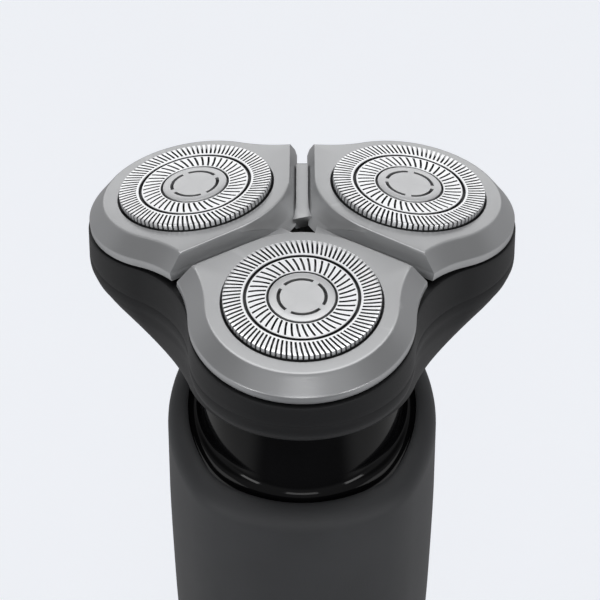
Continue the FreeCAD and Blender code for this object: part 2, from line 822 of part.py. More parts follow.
def neck_collar():
    """The gloss neck: a column that flares to the leaning rim, with a well for the head's spigot."""
    top = size("collar_top")
    column = size("collar_radius")
    low = size("collar_low")
    well = size("spigot_low") - 0.6
    shape = rod(column, low, top)
    flare = handle_slice(size("rim_wall") + 0.1, 0.5, 3.2)
    flange = handle_slice(size("handle_wall") + 0.15, 3.1, 4.6)
    shape = shape.fuse([flare, flange])
    shape = shape.cut(rod(size("well_radius"), well, top + 1))
    latch = rod(size("well_radius") + size("latch_deep"), size("latch_low"), size("latch_high"))
    shape = shape.cut(latch)
    shape = shape.cut(rod(column - 1.6, low - 1, size("motor_high")))
    shape = shape.cut(rod(3.5, low, well + 1))
    for way in (1, -1):
        place = Vector(size("motor_screw_ring") * way, 0, 0)
        shape = shape.cut(rod(size("screw_radius") + 0.05, low, well + 1, place))
        shape = shape.cut(rod(size("screw_head") + 0.1, well - 1.4, well + 1, place))
    keep("neck_collar", shape.removeSplitter())


def latch_ring():
    """A sprung ring in the well's groove, open at the back, that grips the head's spigot."""
    low = size("latch_low")
    high = size("latch_high")
    inner = size("well_radius") + 0.15
    shape = rod(inner + 0.7, low + 0.05, high - 0.05).cut(rod(inner, low - 1, high + 1))
    split = Part.makeBox(6, 3, 4, Vector(-3, inner - 1, low - 1))
    keep("latch_ring", shape.cut(split))


def cap_screw_places():
    side = size("boss_side")
    return [Vector(side, size("boss_front"), 0), Vector(-side, size("boss_front"), 0)]


def bottom_cap():
    """The foot: a plate with two screw bosses, and the ring above it that plugs into the grip."""
    half = size("cap_half") - 0.05
    top = size("handle_low") - 0.1
    plate = size("cap_wall")
    foot = Part.makeLoft([squircle(half - 2.4, 0), squircle(half - 0.9, 0.8), squircle(half - 0.1, 2.4),
                          squircle(half, top)], True, False)
    split = Part.makeBox(90, 90, plate, Vector(-45, -45, 0))
    floor = foot.common(split)
    for place in cap_screw_places():
        floor = floor.fuse(rod(size("boss_radius"), plate - 1, top + size("cap_neck"), place))
        floor = floor.cut(rod(size("cap_screw_radius") + 0.05, -1, top + 5, place))
        floor = floor.cut(rod(size("cap_screw_head") + 0.2, -1, 1.6, place))
    keep("foot_plate", floor.removeSplitter())
    ring = foot.cut(split).fuse(slab(squircle(half - 2.75, 0), top - 1, top + size("cap_neck")))
    ring = ring.cut(slab(squircle(half - 4.4, 0), plate - 1, top + 5))
    wide = size("port_wide") / 2 + 1.3
    tall = size("port_tall") / 2 + 1.3
    opening = Part.makeBox(2 * wide, 12, 2 * tall, Vector(-wide, 10, size("port_height") - tall))
    keep("bottom_cap", ring.cut(opening).removeSplitter())


def bottom_seal():
    half = size("cap_half") - 0.05
    low = size("handle_low") + 0.3
    inside = slab(squircle(half - 2.72, 0), low - 1, low + 2)
    keep("bottom_seal", slab(squircle(half - 1.9, 0), low, low + 1.1).cut(inside))


def power_button():
    height = size("button_height")
    radius = size("button_radius")
    cap = front_rod(radius - 0.15, height, -24, -16.9).common(handle_form(-0.15))
    cap = cap.cut(front_rod(radius - 1.6, height, -18.2, -16))
    cap = cap.fuse(front_rod(1.6, height, -18.5, -16.7))
    dish = Part.makeSphere(22, Vector(0, -40.9, height))
    keep("power_button", cap.cut(dish).removeSplitter())
    bezel = front_rod(radius + 1.17, height, -24, -16.4).cut(front_rod(radius, height, -25, -10))
    keep("button_bezel", bezel.common(handle_form(-0.3)).removeSplitter())
    lens = front_rod(size("lens_radius"), height - size("lens_drop"), -24, -16.2)
    keep("indicator_lens", lens.common(handle_form(-0.05)).removeSplitter())


def chassis():
    """The moulded frame that carries the motor, battery and circuit board."""
    half = size("frame_half")
    front = size("frame_front")
    deep = size("frame_deep")
    wall = size("frame_wall")
    low = size("shelf_low")
    rail_high = size("shelf_high") + size("shelf_thick") + 0.2
    shape = Part.makeBox(2 * half, wall, size("collar_low") - 20, Vector(-half, front + deep - 1.0, 19))
    for level in ("shelf_low", "shelf_middle", "shelf_high"):
        shelf = Part.makeBox(2 * half, deep, size("shelf_thick"), Vector(-half, front, size(level)))
        shape = shape.fuse(shelf)
    shape = shape.cut(rod(2.2, size("shelf_high") - 1, rail_high))
    for edge in (half - wall, -half):
        rail = Part.makeBox(wall, deep, rail_high - low, Vector(edge, front, low))
        window = Part.makeBox(4, 16, 44, Vector(edge - 1.3, front + 4, low + 6.4))
        shape = shape.fuse(rail).cut(window)
    keep("chassis", shape.removeSplitter())


def circuit_board():
    front = size("board_front")
    thick = size("board_thick")
    board = Part.makeBox(20, thick, 62, Vector(-10, front, 23))
    for across, up in ((-8, 26), (8, 26), (-8, 82), (8, 82)):
        board = board.cut(front_rod(0.9, up, front - 3, front + 3).translated(Vector(across, 0, 0)))
    chips = ((-6, 40, 5, 5), (2, 38, 4, 6), (-5, 54, 9, 4), (4, 60, 3, 3))
    for across, up, wide, tall in chips:
        board = board.fuse(Part.makeBox(wide, 1.0, tall, Vector(across, front - 0.9, up)))
    keep("circuit_board", board.removeSplitter())
    height = size("button_height") - 1.5
    switch = Part.makeBox(6, 2.4, 3.4, Vector(-3, front - 2.4, height))
    switch = switch.fuse(front_rod(1.3, height + 1.5, front - 3.5, front - 0.1))
    keep("tact_switch", switch.removeSplitter())


def charging():
    height = size("port_height")
    wide = size("port_wide")
    tall = size("port_tall")

    def socket_box(margin, start, deep):
        """A box round the socket's opening, larger by margin on each side."""
        return Part.makeBox(wide + 2 * margin, deep, tall + 2 * margin,
                            Vector(-wide / 2 - margin, start, height - tall / 2 - margin))

    shell = socket_box(0.3, 11.4, 7.0).cut(socket_box(0.0, 12.0, 6.4))
    tongue = Part.makeBox(wide - 2.4, 5.0, 0.7, Vector(-wide / 2 + 1.2, 11.8, height - 0.35))
    keep("charge_port", shell.fuse(tongue).removeSplitter())
    keep("charge_board", Part.makeBox(14, 8, 1.0, Vector(-7, 5.6, height - tall / 2 - 1.3)))
    bezel = socket_box(1.25, 14.0, 8.0).cut(socket_box(0.3, 12.0, 12.0))
    bezel = bezel.common(slab(squircle(size("cap_half") - 0.2, 0), 0, 20))
    keep("port_bezel", bezel.removeSplitter())


def motor_and_battery():
    inner = "motor_radius - motor_wall"
    hole = "shaft_radius + shaft_play"
    case = turned("motor_case", [(hole, "motor_low"), ("motor_radius", "motor_low"),
                                 ("motor_radius", "motor_high"), (3.2, "motor_high"),
                                 (3.2, "motor_high + 0.6"), (hole, "motor_high + 0.6"),
                                 (hole, "motor_high - motor_wall"), (inner, "motor_high - motor_wall"),
                                 (inner, "motor_low + motor_wall"), (hole, "motor_low + motor_wall")])
    for way in ("motor_screw_ring", "-motor_screw_ring"):
        cut_through(case, lambda sketch: draw_circle(sketch, way, 0, "screw_radius"),
                    "motor_high - 3", "motor_high + 0.2")
    shaft_high = "coupler_low + 4"
    turned("motor_rotor", [(0, "motor_low - 1"), ("shaft_radius", "motor_low - 1"),
                           ("shaft_radius", "motor_low + 3"), ("rotor_radius", "motor_low + 3"),
                           ("rotor_radius", "motor_high - 4"), ("shaft_radius", "motor_high - 4"),
                           ("shaft_radius", shaft_high), (0, shaft_high)])
    corner = size("coupler_flats") / 2 / math.cos(math.radians(30))
    coupler = slab(polygon([polar(corner, 60 * step) for step in range(6)]),
                   size("coupler_low"), size("coupler_high"))
    keep("drive_coupler", coupler.cut(rod(size("shaft_radius"), 100, size("coupler_low") + 4)))
    turned("shaft_seal", [("shaft_radius + 0.1", "motor_high + 0.8"), (3.45, "motor_high + 0.8"),
                          (3.45, "motor_high + 2.2"), ("shaft_radius + 0.1", "motor_high + 2.2")])
    shank = screw(size("screw_radius"), size("screw_head"), 0, 1.3, 4.6)
    shank.rotate(Vector(0, 0, 0), Vector(1, 0, 0), 180)
    well = size("spigot_low") - 0.6
    ring = size("motor_screw_ring")
    screw_group("motor_screws", shank, [Vector(ring, 0, well), Vector(-ring, 0, well)])
    turned("battery_cell", [(0, "battery_low"), ("battery_radius", "battery_low"),
                            ("battery_radius", "battery_high"), (2.4, "battery_high"),
                            (2.4, "battery_high + 0.8"), (0, "battery_high + 0.8")],
           turned_place(0, Vector(0, size("battery_back"), 0)))
    tabs = [Part.makeBox(5, 9, 0.25, Vector(-2.5, -2.0, size("battery_low") - 0.25)),
            Part.makeBox(4, 9, 0.25, Vector(-2.0, -2.0, size("battery_high") + 0.8))]
    group("battery_tabs", tabs)


def everything():
    foil = foil_shape()
    for side, degrees in SIDES.items():
        petal(side, degrees)
        keep(f"foil_{side}", foil.copy(), unit_place(degrees))
        foil_trim(side, degrees)
        cutter(side, degrees)
        cutter_carrier(side, degrees)
        retainer(side, degrees)
        spindle(side, degrees)
        planet_gear(side, degrees)
    head_base()
    gearbox_plate()
    gearbox_cover()
    pivot_pins()
    gearbox_bushes()
    divider()
    sun_gear()
    coupling_socket()
    handle_shell()
    neck_collar()
    latch_ring()
    bottom_cap()
    bottom_seal()
    power_button()
    chassis()
    circuit_board()
    charging()
    motor_and_battery()
    screw_group("head_screws", screw(size("screw_radius"), size("screw_head"), size("cover_low") - 1.3,
                                     size("cover_low"), size("plate_low") + size("plate_thick") - 0.1),
                [polar(size("pillar_ring"), degrees) for degrees in GAPS])
    screw_group("cap_screws", screw(size("cap_screw_radius"), size("cap_screw_head"), 0.3, 1.6, 16.5),
                cap_screw_places())


everything()
doc.recompute()
for item in doc.Objects:
    if "Invalid" in item.State or "Error" in item.State:
        raise SystemExit(f"{item.Label} did not rebuild")
os.makedirs("parts", exist_ok=True)
for label, piece in parts.items():
    if piece.Shape.isNull() or not piece.Shape.isValid():
        raise SystemExit(f"{label} is not a sound solid")
    piece.Shape.exportStep(os.path.join("parts", label + ".step"))
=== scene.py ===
import json
import math

import bmesh
import bpy
from mathutils import Matrix, Vector


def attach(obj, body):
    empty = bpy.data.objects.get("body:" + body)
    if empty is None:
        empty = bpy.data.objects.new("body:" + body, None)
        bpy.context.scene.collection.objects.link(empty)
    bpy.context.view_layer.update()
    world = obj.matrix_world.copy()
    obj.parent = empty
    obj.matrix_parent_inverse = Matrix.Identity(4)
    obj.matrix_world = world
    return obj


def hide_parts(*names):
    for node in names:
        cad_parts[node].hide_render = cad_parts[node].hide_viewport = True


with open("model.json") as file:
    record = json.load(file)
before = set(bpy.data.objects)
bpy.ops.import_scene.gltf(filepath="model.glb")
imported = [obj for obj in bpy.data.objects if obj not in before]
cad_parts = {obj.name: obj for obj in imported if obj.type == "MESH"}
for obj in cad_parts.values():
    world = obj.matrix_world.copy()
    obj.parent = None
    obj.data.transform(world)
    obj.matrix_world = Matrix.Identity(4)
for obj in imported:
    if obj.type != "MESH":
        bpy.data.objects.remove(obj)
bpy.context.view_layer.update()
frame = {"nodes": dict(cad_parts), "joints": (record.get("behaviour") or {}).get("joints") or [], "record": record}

# Lengths below are in millimetres and become metres through MM.
MM = 0.001
SIDES = ("front", "right", "left")

# cutting unit, in its own frame: X outward, Y along the rim, Z square to the foil
LEAN = math.radians(9.0)
UNIT_RING = 18.55
UNIT_HEIGHT = 158.0
FOIL_RADIUS = 11.5
FOIL_WALL = 0.35
FOIL_DROP = 2.1
TRACK_IN = 5.15
SPLIT_IN = 8.07
SPLIT_OUT = 8.5
SUNK = 0.5
TOOTH = 0.8
PITCHES = 45
OUTER_SLOT = 0.31
INNER_SLOT = 0.33
OUTER_SWEEP = 3.0
INNER_SWEEP = 6.0
INNER_START = TRACK_IN + 0.2
INNER_END = SPLIT_IN - 0.25
OUTER_START = SPLIT_OUT + 0.37
TRIM_RADIUS = 4.85
TRIM_TOP = 0.1
TRIM_LOW = -0.45
STEM_RADIUS = 1.1
STEM_LOW = -1.35
PETAL_TOP = -0.9
PETAL_SHOULDER = -3.4
PETAL_BOTTOM = -4.65
PETAL_RADIUS = 14.1
PETAL_FLARE = 2.45
PETAL_HOLE = 11.8
GAP_TOP = 1.95
GAP_BOTTOM = 0.85
VALLEY = Vector((1.12, 34.09))
VALLEY_RADIUS = 20.0
LUG_DEPTH = -6.0
LUG_HALF = 1.3
LUG_NEAR = 13.0
LUG_WIDTH = 1.2
LUG_BORE = 0.66

# divider between the petals
BAR_TOP = 157.0
BAR_SLOPE = 0.06
WEB_LOW = 149.2
WEB_OUT = 17.3
WEB_HALF = 0.35

# head housing
LOBE_CENTRE = 18.1
LOBE_RADIUS = 16.5
HOLLOW_CENTRE = 39.35
HOLLOW_RADIUS = 17.605
RIM_PLANE = -5.05
RIM_FLAT = 153.1
BAND_LOW = 144.5
CREASE = 146.9
FUNNEL_LOW = 131.0
HEAD_LOW = 130.6
FUNNEL_RADIUS = 17.8
SPIGOT_RADIUS = 12.8
SPIGOT_LOW = 122.6
SPIGOT_BORE = 7.2

# handle
RIM_HEIGHT = 123.3
RIM_SLOPE = math.tan(math.radians(16.0))
HANDLE_HALVES = ((13.0, 19.4), (39.5, 19.25), (66.0, 18.9), (90.0, 20.03), (114.0, 20.6), (146.0, 20.6))
# the grip's outline: the radius of its sides and the centres of its corners, as shares of half its width
GRIP_SIDE = 1.262
GRIP_CENTRE = 0.379
HANDLE_LOW = 14.0
STRAIGHT_LOW = 16.0
STRAIGHT_HIGH = 108.0
SHOULDER = 3.0
HANDLE_WALL = 1.8
RIM_WALL = 3.1
BUTTON_HEIGHT = 83.0
BUTTON_RADIUS = 6.25
BEZEL_RADIUS = 7.55
LENS_HEIGHT = 70.0
LENS_RADIUS = 1.35
COLUMN = 15.6
COLUMN_TOP = 130.3
WELL_RADIUS = 13.1
WELL_FLOOR = 122.0
NECK_LOW = 113.0
SHAFT_HOLE = 3.5
RING_STEPS = 288

# setting: brightness of the surroundings, and the camera about the head's centre
WORLD_PALE = 0.38
LOW_SIDES = 0.62
WORLD_DARK = 0.095
FLOOR_GLOW = 0.60
CAMERA_DISTANCE = 0.537
CAMERA_ELEVATION = math.radians(36.17)
CAMERA_TILT = math.radians(1.2476)
CAMERA_PAN = math.radians(0.041)


# --- meshes --------------------------------------------------------------------

def spread(start, end, steps):
    """Values from start to end in equal steps."""
    return [start + (end - start) * step / steps for step in range(steps + 1)]


def make_object(name, points, faces, material, place=None, sharp=32.0):
    """A mesh object from points in millimetres, smooth apart from edges over sharp degrees."""
    place = place or Matrix()
    mesh = bpy.data.meshes.new(name)
    mesh.from_pydata([place @ (Vector(point) * MM) for point in points], [], faces)
    mesh.validate()
    bm = bmesh.new()
    bm.from_mesh(mesh)
    bmesh.ops.remove_doubles(bm, verts=bm.verts, dist=0.000001)
    bmesh.ops.recalc_face_normals(bm, faces=bm.faces)
    bm.to_mesh(mesh)
    bm.free()
    mesh.shade_smooth()
    mesh.set_sharp_from_angle(angle=math.radians(sharp))
    mesh.materials.append(material)
    item = bpy.data.objects.new(name, mesh)
    bpy.context.scene.collection.objects.link(item)
    return item


def ring_faces(levels, count, closed_path=False):
    """Quads between level rings of count points each, joined round and, if asked, last to first."""
    faces = []
    for level in range(levels if closed_path else levels - 1):
        above = (level + 1) % levels
        for step in range(count):
            following = (step + 1) % count
            faces.append((level * count + step, level * count + following,
                          above * count + following, above * count + step))
    return faces


def ring_object(name, rings, material, place=None, closed_path=True, sharp=32.0):
    points = [point for ring in rings for point in ring]
    faces = ring_faces(len(rings), len(rings[0]), closed_path)
    return make_object(name, points, faces, material, place, sharp)


def pierced_faces(levels, count, is_open, lined):
    """Faces of two skins of level rings, with walls round their open cells.

    The second skin covers only the first lined levels.
    """
    base = levels * count
    faces = []
    for level in range(levels - 1):
        for step in range(count):
            if is_open(level, step):
                continue
            following = (step + 1) % count
            a, b = level * count + step, level * count + following
            c, d = a + count, b + count
            faces.append((a, b, d, c))
            if level < lined:
                faces.append((base + a, base + c, base + d, base + b))
            if is_open(level, (step - 1) % count):
                faces.append((a, c, base + c, base + a))
            if is_open(level, following):
                faces.append((b, base + b, base + d, d))
            if is_open(level - 1, step):
                faces.append((a, base + a, base + b, b))
            if is_open(level + 1, step):
                faces.append((c, d, base + d, base + c))
    return faces


def round_ring(radius, height, count, start=0.0):
    """A level circle of count points, from the angle start."""
    ring = []
    for step in range(count):
        angle = start + 2 * math.pi * step / count
        ring.append((radius * math.cos(angle), radius * math.sin(angle), height))
    return ring


def adopt(item, body, node):
    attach(item, body)
    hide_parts(node)


def joint_named(name):
    return next(joint for joint in frame["joints"] if joint["name"] == name)


def unit_frame(side):
    """Where a cutting unit sits, read from its cutter's joint."""
    joint = joint_named(f"cutter_{side}_spin")
    normal = Vector(joint["axis"]).normalized()
    centre = Vector(joint["pos_m"])
    heading = Vector((centre.x, centre.y, 0)).normalized()
    outward = (heading - normal * heading.dot(normal)).normalized()
    aside = normal.cross(outward)
    turn = Matrix((outward, aside, normal)).transposed().to_4x4()
    return Matrix.Translation(centre) @ turn


# --- materials -----------------------------------------------------------------

def new_material(name):
    material = bpy.data.materials.new(name)
    material.use_nodes = True
    tree = material.node_tree
    shader = tree.nodes["Principled BSDF"]
    return material, tree, shader


def surface(name, colour, roughness, metallic=0.0, variation=0.06, grain=400.0, bump=0.02, wear_and_edge_highlight=0.0,
            rough_spread=0.05, coat=0.0, stretch=(1, 1, 1), specular=0.5, clear=0.0):
    """A procedural finish: broad colour drift, fine grain in roughness and bump, and convex edges made brighter,
    partly as edge wear and partly as painted highlight.
    """
    material, tree, shader = new_material(name)
    nodes, links = tree.nodes, tree.links
    coordinates = nodes.new("ShaderNodeTexCoord")
    mapping = nodes.new("ShaderNodeMapping")
    mapping.inputs["Scale"].default_value = stretch
    links.new(coordinates.outputs["Object"], mapping.inputs["Vector"])
    broad = nodes.new("ShaderNodeTexNoise")
    broad.inputs["Scale"].default_value = 90.0
    broad.inputs["Detail"].default_value = 3.0
    links.new(coordinates.outputs["Object"], broad.inputs["Vector"])
    fine = nodes.new("ShaderNodeTexNoise")
    fine.inputs["Scale"].default_value = grain
    fine.inputs["Detail"].default_value = 5.0
    fine.inputs["Roughness"].default_value = 0.65
    links.new(mapping.outputs["Vector"], fine.inputs["Vector"])

    ramp = nodes.new("ShaderNodeValToRGB")
    ramp.color_ramp.elements[0].position = 0.3
    ramp.color_ramp.elements[1].position = 0.7
    low = [max(0.0, channel * (1 - variation)) for channel in colour]
    high = [min(1.0, channel * (1 + variation)) for channel in colour]
    ramp.color_ramp.elements[0].color = (*low, 1)
    ramp.color_ramp.elements[1].color = (*high, 1)
    links.new(broad.outputs["Fac"], ramp.inputs["Fac"])
    tint = ramp.outputs["Color"]
    # Convex edges, found by pointiness, get a lighter colour: partly edge wear, partly a painted highlight along
    # the edges.
    if wear_and_edge_highlight > 0:
        geometry = nodes.new("ShaderNodeNewGeometry")
        edge = nodes.new("ShaderNodeMapRange")
        edge.inputs["From Min"].default_value = 0.52
        edge.inputs["From Max"].default_value = 0.62
        edge.inputs["To Max"].default_value = wear_and_edge_highlight
        links.new(geometry.outputs["Pointiness"], edge.inputs["Value"])
        mix = nodes.new("ShaderNodeMix")
        mix.data_type = "RGBA"
        mix.inputs["B"].default_value = (*[min(1.0, channel * 1.8 + 0.03) for channel in colour], 1)
        links.new(edge.outputs["Result"], mix.inputs["Factor"])
        links.new(tint, mix.inputs["A"])
        tint = mix.outputs["Result"]
    links.new(tint, shader.inputs["Base Color"])

    roughen = nodes.new("ShaderNodeMapRange")
    roughen.inputs["To Min"].default_value = max(0.02, roughness - rough_spread)
    roughen.inputs["To Max"].default_value = min(1.0, roughness + rough_spread)
    links.new(fine.outputs["Fac"], roughen.inputs["Value"])
    links.new(roughen.outputs["Result"], shader.inputs["Roughness"])

    relief = nodes.new("ShaderNodeBump")
    relief.inputs["Strength"].default_value = bump
    relief.inputs["Distance"].default_value = 0.0002
    links.new(fine.outputs["Fac"], relief.inputs["Height"])
    links.new(relief.outputs["Normal"], shader.inputs["Normal"])

    shader.inputs["Metallic"].default_value = metallic
    shader.inputs["Coat Weight"].default_value = coat
    shader.inputs["Coat Roughness"].default_value = 0.06
    shader.inputs["Specular IOR Level"].default_value = specular
    shader.inputs["Transmission Weight"].default_value = clear
    return material


FINISH = {
    "petal": surface("silver_lacquer", (0.455, 0.46, 0.465), 0.33, metallic=0.68, variation=0.025,
                     grain=2600, bump=0.05, wear_and_edge_highlight=0.12, rough_spread=0.04),
    "foil_steel": surface("foil_steel", (0.93, 0.94, 0.95), 0.30, metallic=0.85, variation=0.03, grain=3000,
                          bump=0.03, wear_and_edge_highlight=0.1, rough_spread=0.06),
    # painted shade: a near-black finish laid on the foil's sunken rings, slot walls, underside and the wall below
    # its teeth
    "foil_shadow": surface("foil_painted_shade", (0.05, 0.05, 0.052), 0.5, metallic=0.5, variation=0.1,
                           grain=2500, bump=0.05),
    "trim": surface("trim_lacquer", (0.60, 0.605, 0.61), 0.36, metallic=0.65, variation=0.02, grain=2400,
                    bump=0.04, wear_and_edge_highlight=0.1),
    "cutter_steel": surface("cutter_steel", (0.16, 0.16, 0.17), 0.4, metallic=0.9, variation=0.1,
                            grain=1800, bump=0.1, stretch=(1, 1, 6)),
    "carrier": surface("carrier_plastic", (0.05, 0.05, 0.055), 0.5, variation=0.05, grain=900, bump=0.05),
    "gear": surface("gear_acetal", (0.80, 0.78, 0.70), 0.42, variation=0.04, grain=700, bump=0.05),
    "pin_steel": surface("pin_steel", (0.58, 0.58, 0.60), 0.28, metallic=1.0, variation=0.05, grain=1500,
                         bump=0.08, stretch=(1, 1, 8)),
    "head_dark": surface("head_charcoal", (0.015, 0.0152, 0.016), 0.48, variation=0.08, grain=4200,
                         bump=0.16, wear_and_edge_highlight=0.2, specular=0.19),
    "inner_dark": surface("inner_plastic", (0.02, 0.02, 0.022), 0.55, variation=0.1, grain=900, bump=0.08),
    "bush_brass": surface("bush_brass", (0.72, 0.52, 0.22), 0.3, metallic=1.0, variation=0.08, grain=1200,
                          bump=0.08),
    "gloss_black": surface("gloss_black", (0.003, 0.003, 0.0033), 0.09, variation=0.2, grain=300,
                           bump=0.004, rough_spread=0.02, coat=0.08, specular=0.16),
    "grip": surface("soft_grip", (0.041, 0.042, 0.044), 0.52, variation=0.07, grain=3600, bump=0.14,
                    wear_and_edge_highlight=0.2, specular=0.4),
    "button": surface("button_metal", (0.40, 0.41, 0.42), 0.3, metallic=0.9, variation=0.03, grain=1600,
                      bump=0.06, stretch=(1, 8, 8)),
    "bezel": surface("bezel_chrome", (0.62, 0.62, 0.64), 0.14, metallic=1.0, variation=0.03, grain=900,
                     bump=0.02),
    "lens": surface("lens_milky", (0.72, 0.86, 0.76), 0.25, variation=0.04, grain=600, bump=0.02,
                    clear=0.35),
    "motor_steel": surface("motor_plated", (0.55, 0.55, 0.57), 0.32, metallic=1.0, variation=0.06,
                           grain=900, bump=0.06, stretch=(1, 1, 0.1)),
    "cell_wrap": surface("cell_wrap", (0.06, 0.16, 0.36), 0.35, variation=0.05, grain=500, bump=0.03,
                         coat=0.3),
    "nickel": surface("nickel", (0.66, 0.64, 0.60), 0.26, metallic=1.0, variation=0.05, grain=1200,
                      bump=0.05),
    "board": surface("solder_mask", (0.015, 0.12, 0.045), 0.38, variation=0.12, grain=1500, bump=0.08,
                     coat=0.2),
    "seal": surface("seal_rubber", (0.015, 0.015, 0.016), 0.7, variation=0.1, grain=1200, bump=0.12),
    "screw_steel": surface("screw_black", (0.09, 0.09, 0.095), 0.4, metallic=0.9, variation=0.08,
                           grain=1500, bump=0.08),
}


def finish_cad_nodes():
    for entry in frame["record"]["subparts"]:
        node = frame["nodes"][entry["node"]]
        if not node.material_slots:
            node.data.materials.append(None)
        for holder in node.material_slots:
            holder.material = FINISH[entry["material_slot"]]


# --- cutting units -------------------------------------------------------------

def slot_turn(radius):
    """How far round, in degrees, the slots have swept by this radius."""
    inner = min(1.0, max(0.0, (radius - INNER_START) / (INNER_END - INNER_START)))
    outer = min(1.0, max(0.0, (radius - OUTER_START) / (FOIL_RADIUS - OUTER_START)))
    return INNER_SWEEP * inner + OUTER_SWEEP * outer


def foil_path():
    """The foil's section: outer line, inner line, and whether the stretch to the next point is slotted.

    The last value is 0 for none, 1 for the inner track's slots and 2 for the outer track's.
    """
    wall = FOIL_WALL
    edge = 0.07
    path = [(1.3, -SUNK, 1.3, -SUNK - wall, 0),
            (TRACK_IN - 0.02, -SUNK, TRACK_IN + wall, -SUNK - wall, 0),
            (TRACK_IN, -edge, TRACK_IN + 0.1, -wall, 0),
            (TRACK_IN + edge, 0, TRACK_IN + 0.12, -wall, 0)]
    radii = spread(INNER_START, INNER_END, 6)
    path += [(radius, 0, radius, -wall, 1) for radius in radii[:-1]]
    path += [(radii[-1], 0, radii[-1], -wall, 0),
             (SPLIT_IN - edge, 0, SPLIT_IN - 0.16, -wall, 0),
             (SPLIT_IN, -edge, SPLIT_IN - 0.14, -wall, 0),
             (SPLIT_IN + 0.02, -SUNK, SPLIT_IN - 0.12, -SUNK - wall, 0),
             (SPLIT_OUT - 0.02, -SUNK, SPLIT_OUT + wall - 0.06, -SUNK - wall, 0),
             (SPLIT_OUT, -edge, SPLIT_OUT + wall - 0.05, -wall, 0),
             (SPLIT_OUT + edge, 0, SPLIT_OUT + wall, -wall, 0)]
    bore = FOIL_RADIUS - wall
    radii = spread(OUTER_START, FOIL_RADIUS - 0.1, 6)
    path += [(radius, 0, min(radius, bore), -wall, 2) for radius in radii]
    path += [(FOIL_RADIUS - 0.03, -0.03, bore, -wall - 0.02, 2),
             (FOIL_RADIUS, -0.1, bore, -wall - 0.04, 2),
             (FOIL_RADIUS, -TOOTH, bore, -TOOTH - 0.05, 0),
             (FOIL_RADIUS, -FOIL_DROP, bore, -FOIL_DROP, 0),
             (FOIL_RADIUS + 0.9, -FOIL_DROP, FOIL_RADIUS + 0.9, -FOIL_DROP - 0.3, 0)]
    return path


def foil(side):
    """The slotted steel cap: 45 slots in its inner track, and 90 in its outer one that end as teeth."""
    path = foil_path()
    count = PITCHES * 4
    pitch = 360.0 / PITCHES
    outer_points, inner_points = [], []
    for radius, height, inner_radius, inner_height, slotted in path:
        wide = INNER_SLOT if radius < SPLIT_IN + 0.1 else OUTER_SLOT
        half = math.degrees(wide / 2 / max(radius, TRACK_IN))
        for step in range(count):
            angle = (step // 4) * pitch + slot_turn(radius)
            angle = math.radians(angle + (-half, half, pitch / 2 - half, pitch / 2 + half)[step % 4])
            sine, cosine = math.sin(angle), math.cos(angle)
            outer_points.append((radius * cosine, radius * sine, height))
            inner_points.append((inner_radius * cosine, inner_radius * sine, inner_height))

    def is_open(level, step):
        if level < 0 or level == len(path) - 1:
            return True
        slotted = path[level][4]
        return (slotted == 1 and step % 4 == 0) or (slotted == 2 and step % 2 == 0)

    points = outer_points + inner_points
    faces = pierced_faces(len(path), count, is_open, len(path) - 1)
    place = unit_frame(side)
    item = make_object(f"foil_cap_{side}", points, faces, FINISH["foil_steel"], place, 28.0)
    # Faces below the foil's top, apart from the teeth, take the near-black finish: painted shade in the sunken
    # rings and slot walls, on the underside and under the teeth.
    item.data.materials.append(FINISH["foil_shadow"])
    inward = place.inverted()
    for face in item.data.polygons:
        spot = inward @ face.center / MM
        in_tooth = spot.z > -TOOTH and math.hypot(spot.x, spot.y) > FOIL_RADIUS - 0.2
        if spot.z < -0.12 and not in_tooth:
            face.material_index = 1
    adopt(item, f"petal_{side}", f"foil_{side}")


def trim(side):
    """The light disc in the middle of a foil, with four arc slots."""
    rings = ((STEM_RADIUS, TRIM_TOP), (3.2, TRIM_TOP), (3.7, TRIM_TOP), (TRIM_RADIUS - 0.2, TRIM_TOP),
             (TRIM_RADIUS - 0.05, TRIM_TOP - 0.05), (TRIM_RADIUS, TRIM_TOP - 0.18), (TRIM_RADIUS, TRIM_LOW))
    quarter = 24
    count = 4 * quarter
    turn = math.radians(55)
    points = []
    for radius, top in rings:
        points += round_ring(radius, top, count, turn)
    for radius, top in rings:
        points += round_ring(radius, TRIM_LOW, count, turn)

    def is_open(level, step):
        return level == 1 and 2 <= step % quarter < quarter - 2

    faces = pierced_faces(len(rings), count, is_open, len(rings) - 2)
    faces.append(tuple(range(count)))
    under = len(rings) * count
    last = under - count
    stem = len(points)
    for height in (TRIM_LOW, STEM_LOW):
        points += round_ring(STEM_RADIUS, height, count, turn)
    for step in range(count):
        following = (step + 1) % count
        faces.append((stem + step, stem + following, stem + count + following, stem + count + step))
        inner, outer = under + last - count, last
        faces.append((inner + step, inner + following, outer + following, outer + step))
    faces.append(tuple(stem + count + step for step in range(count)))
    item = make_object(f"trim_disc_{side}", points, faces, FINISH["trim"], unit_frame(side), 30.0)
    adopt(item, f"petal_{side}", f"foil_trim_{side}")


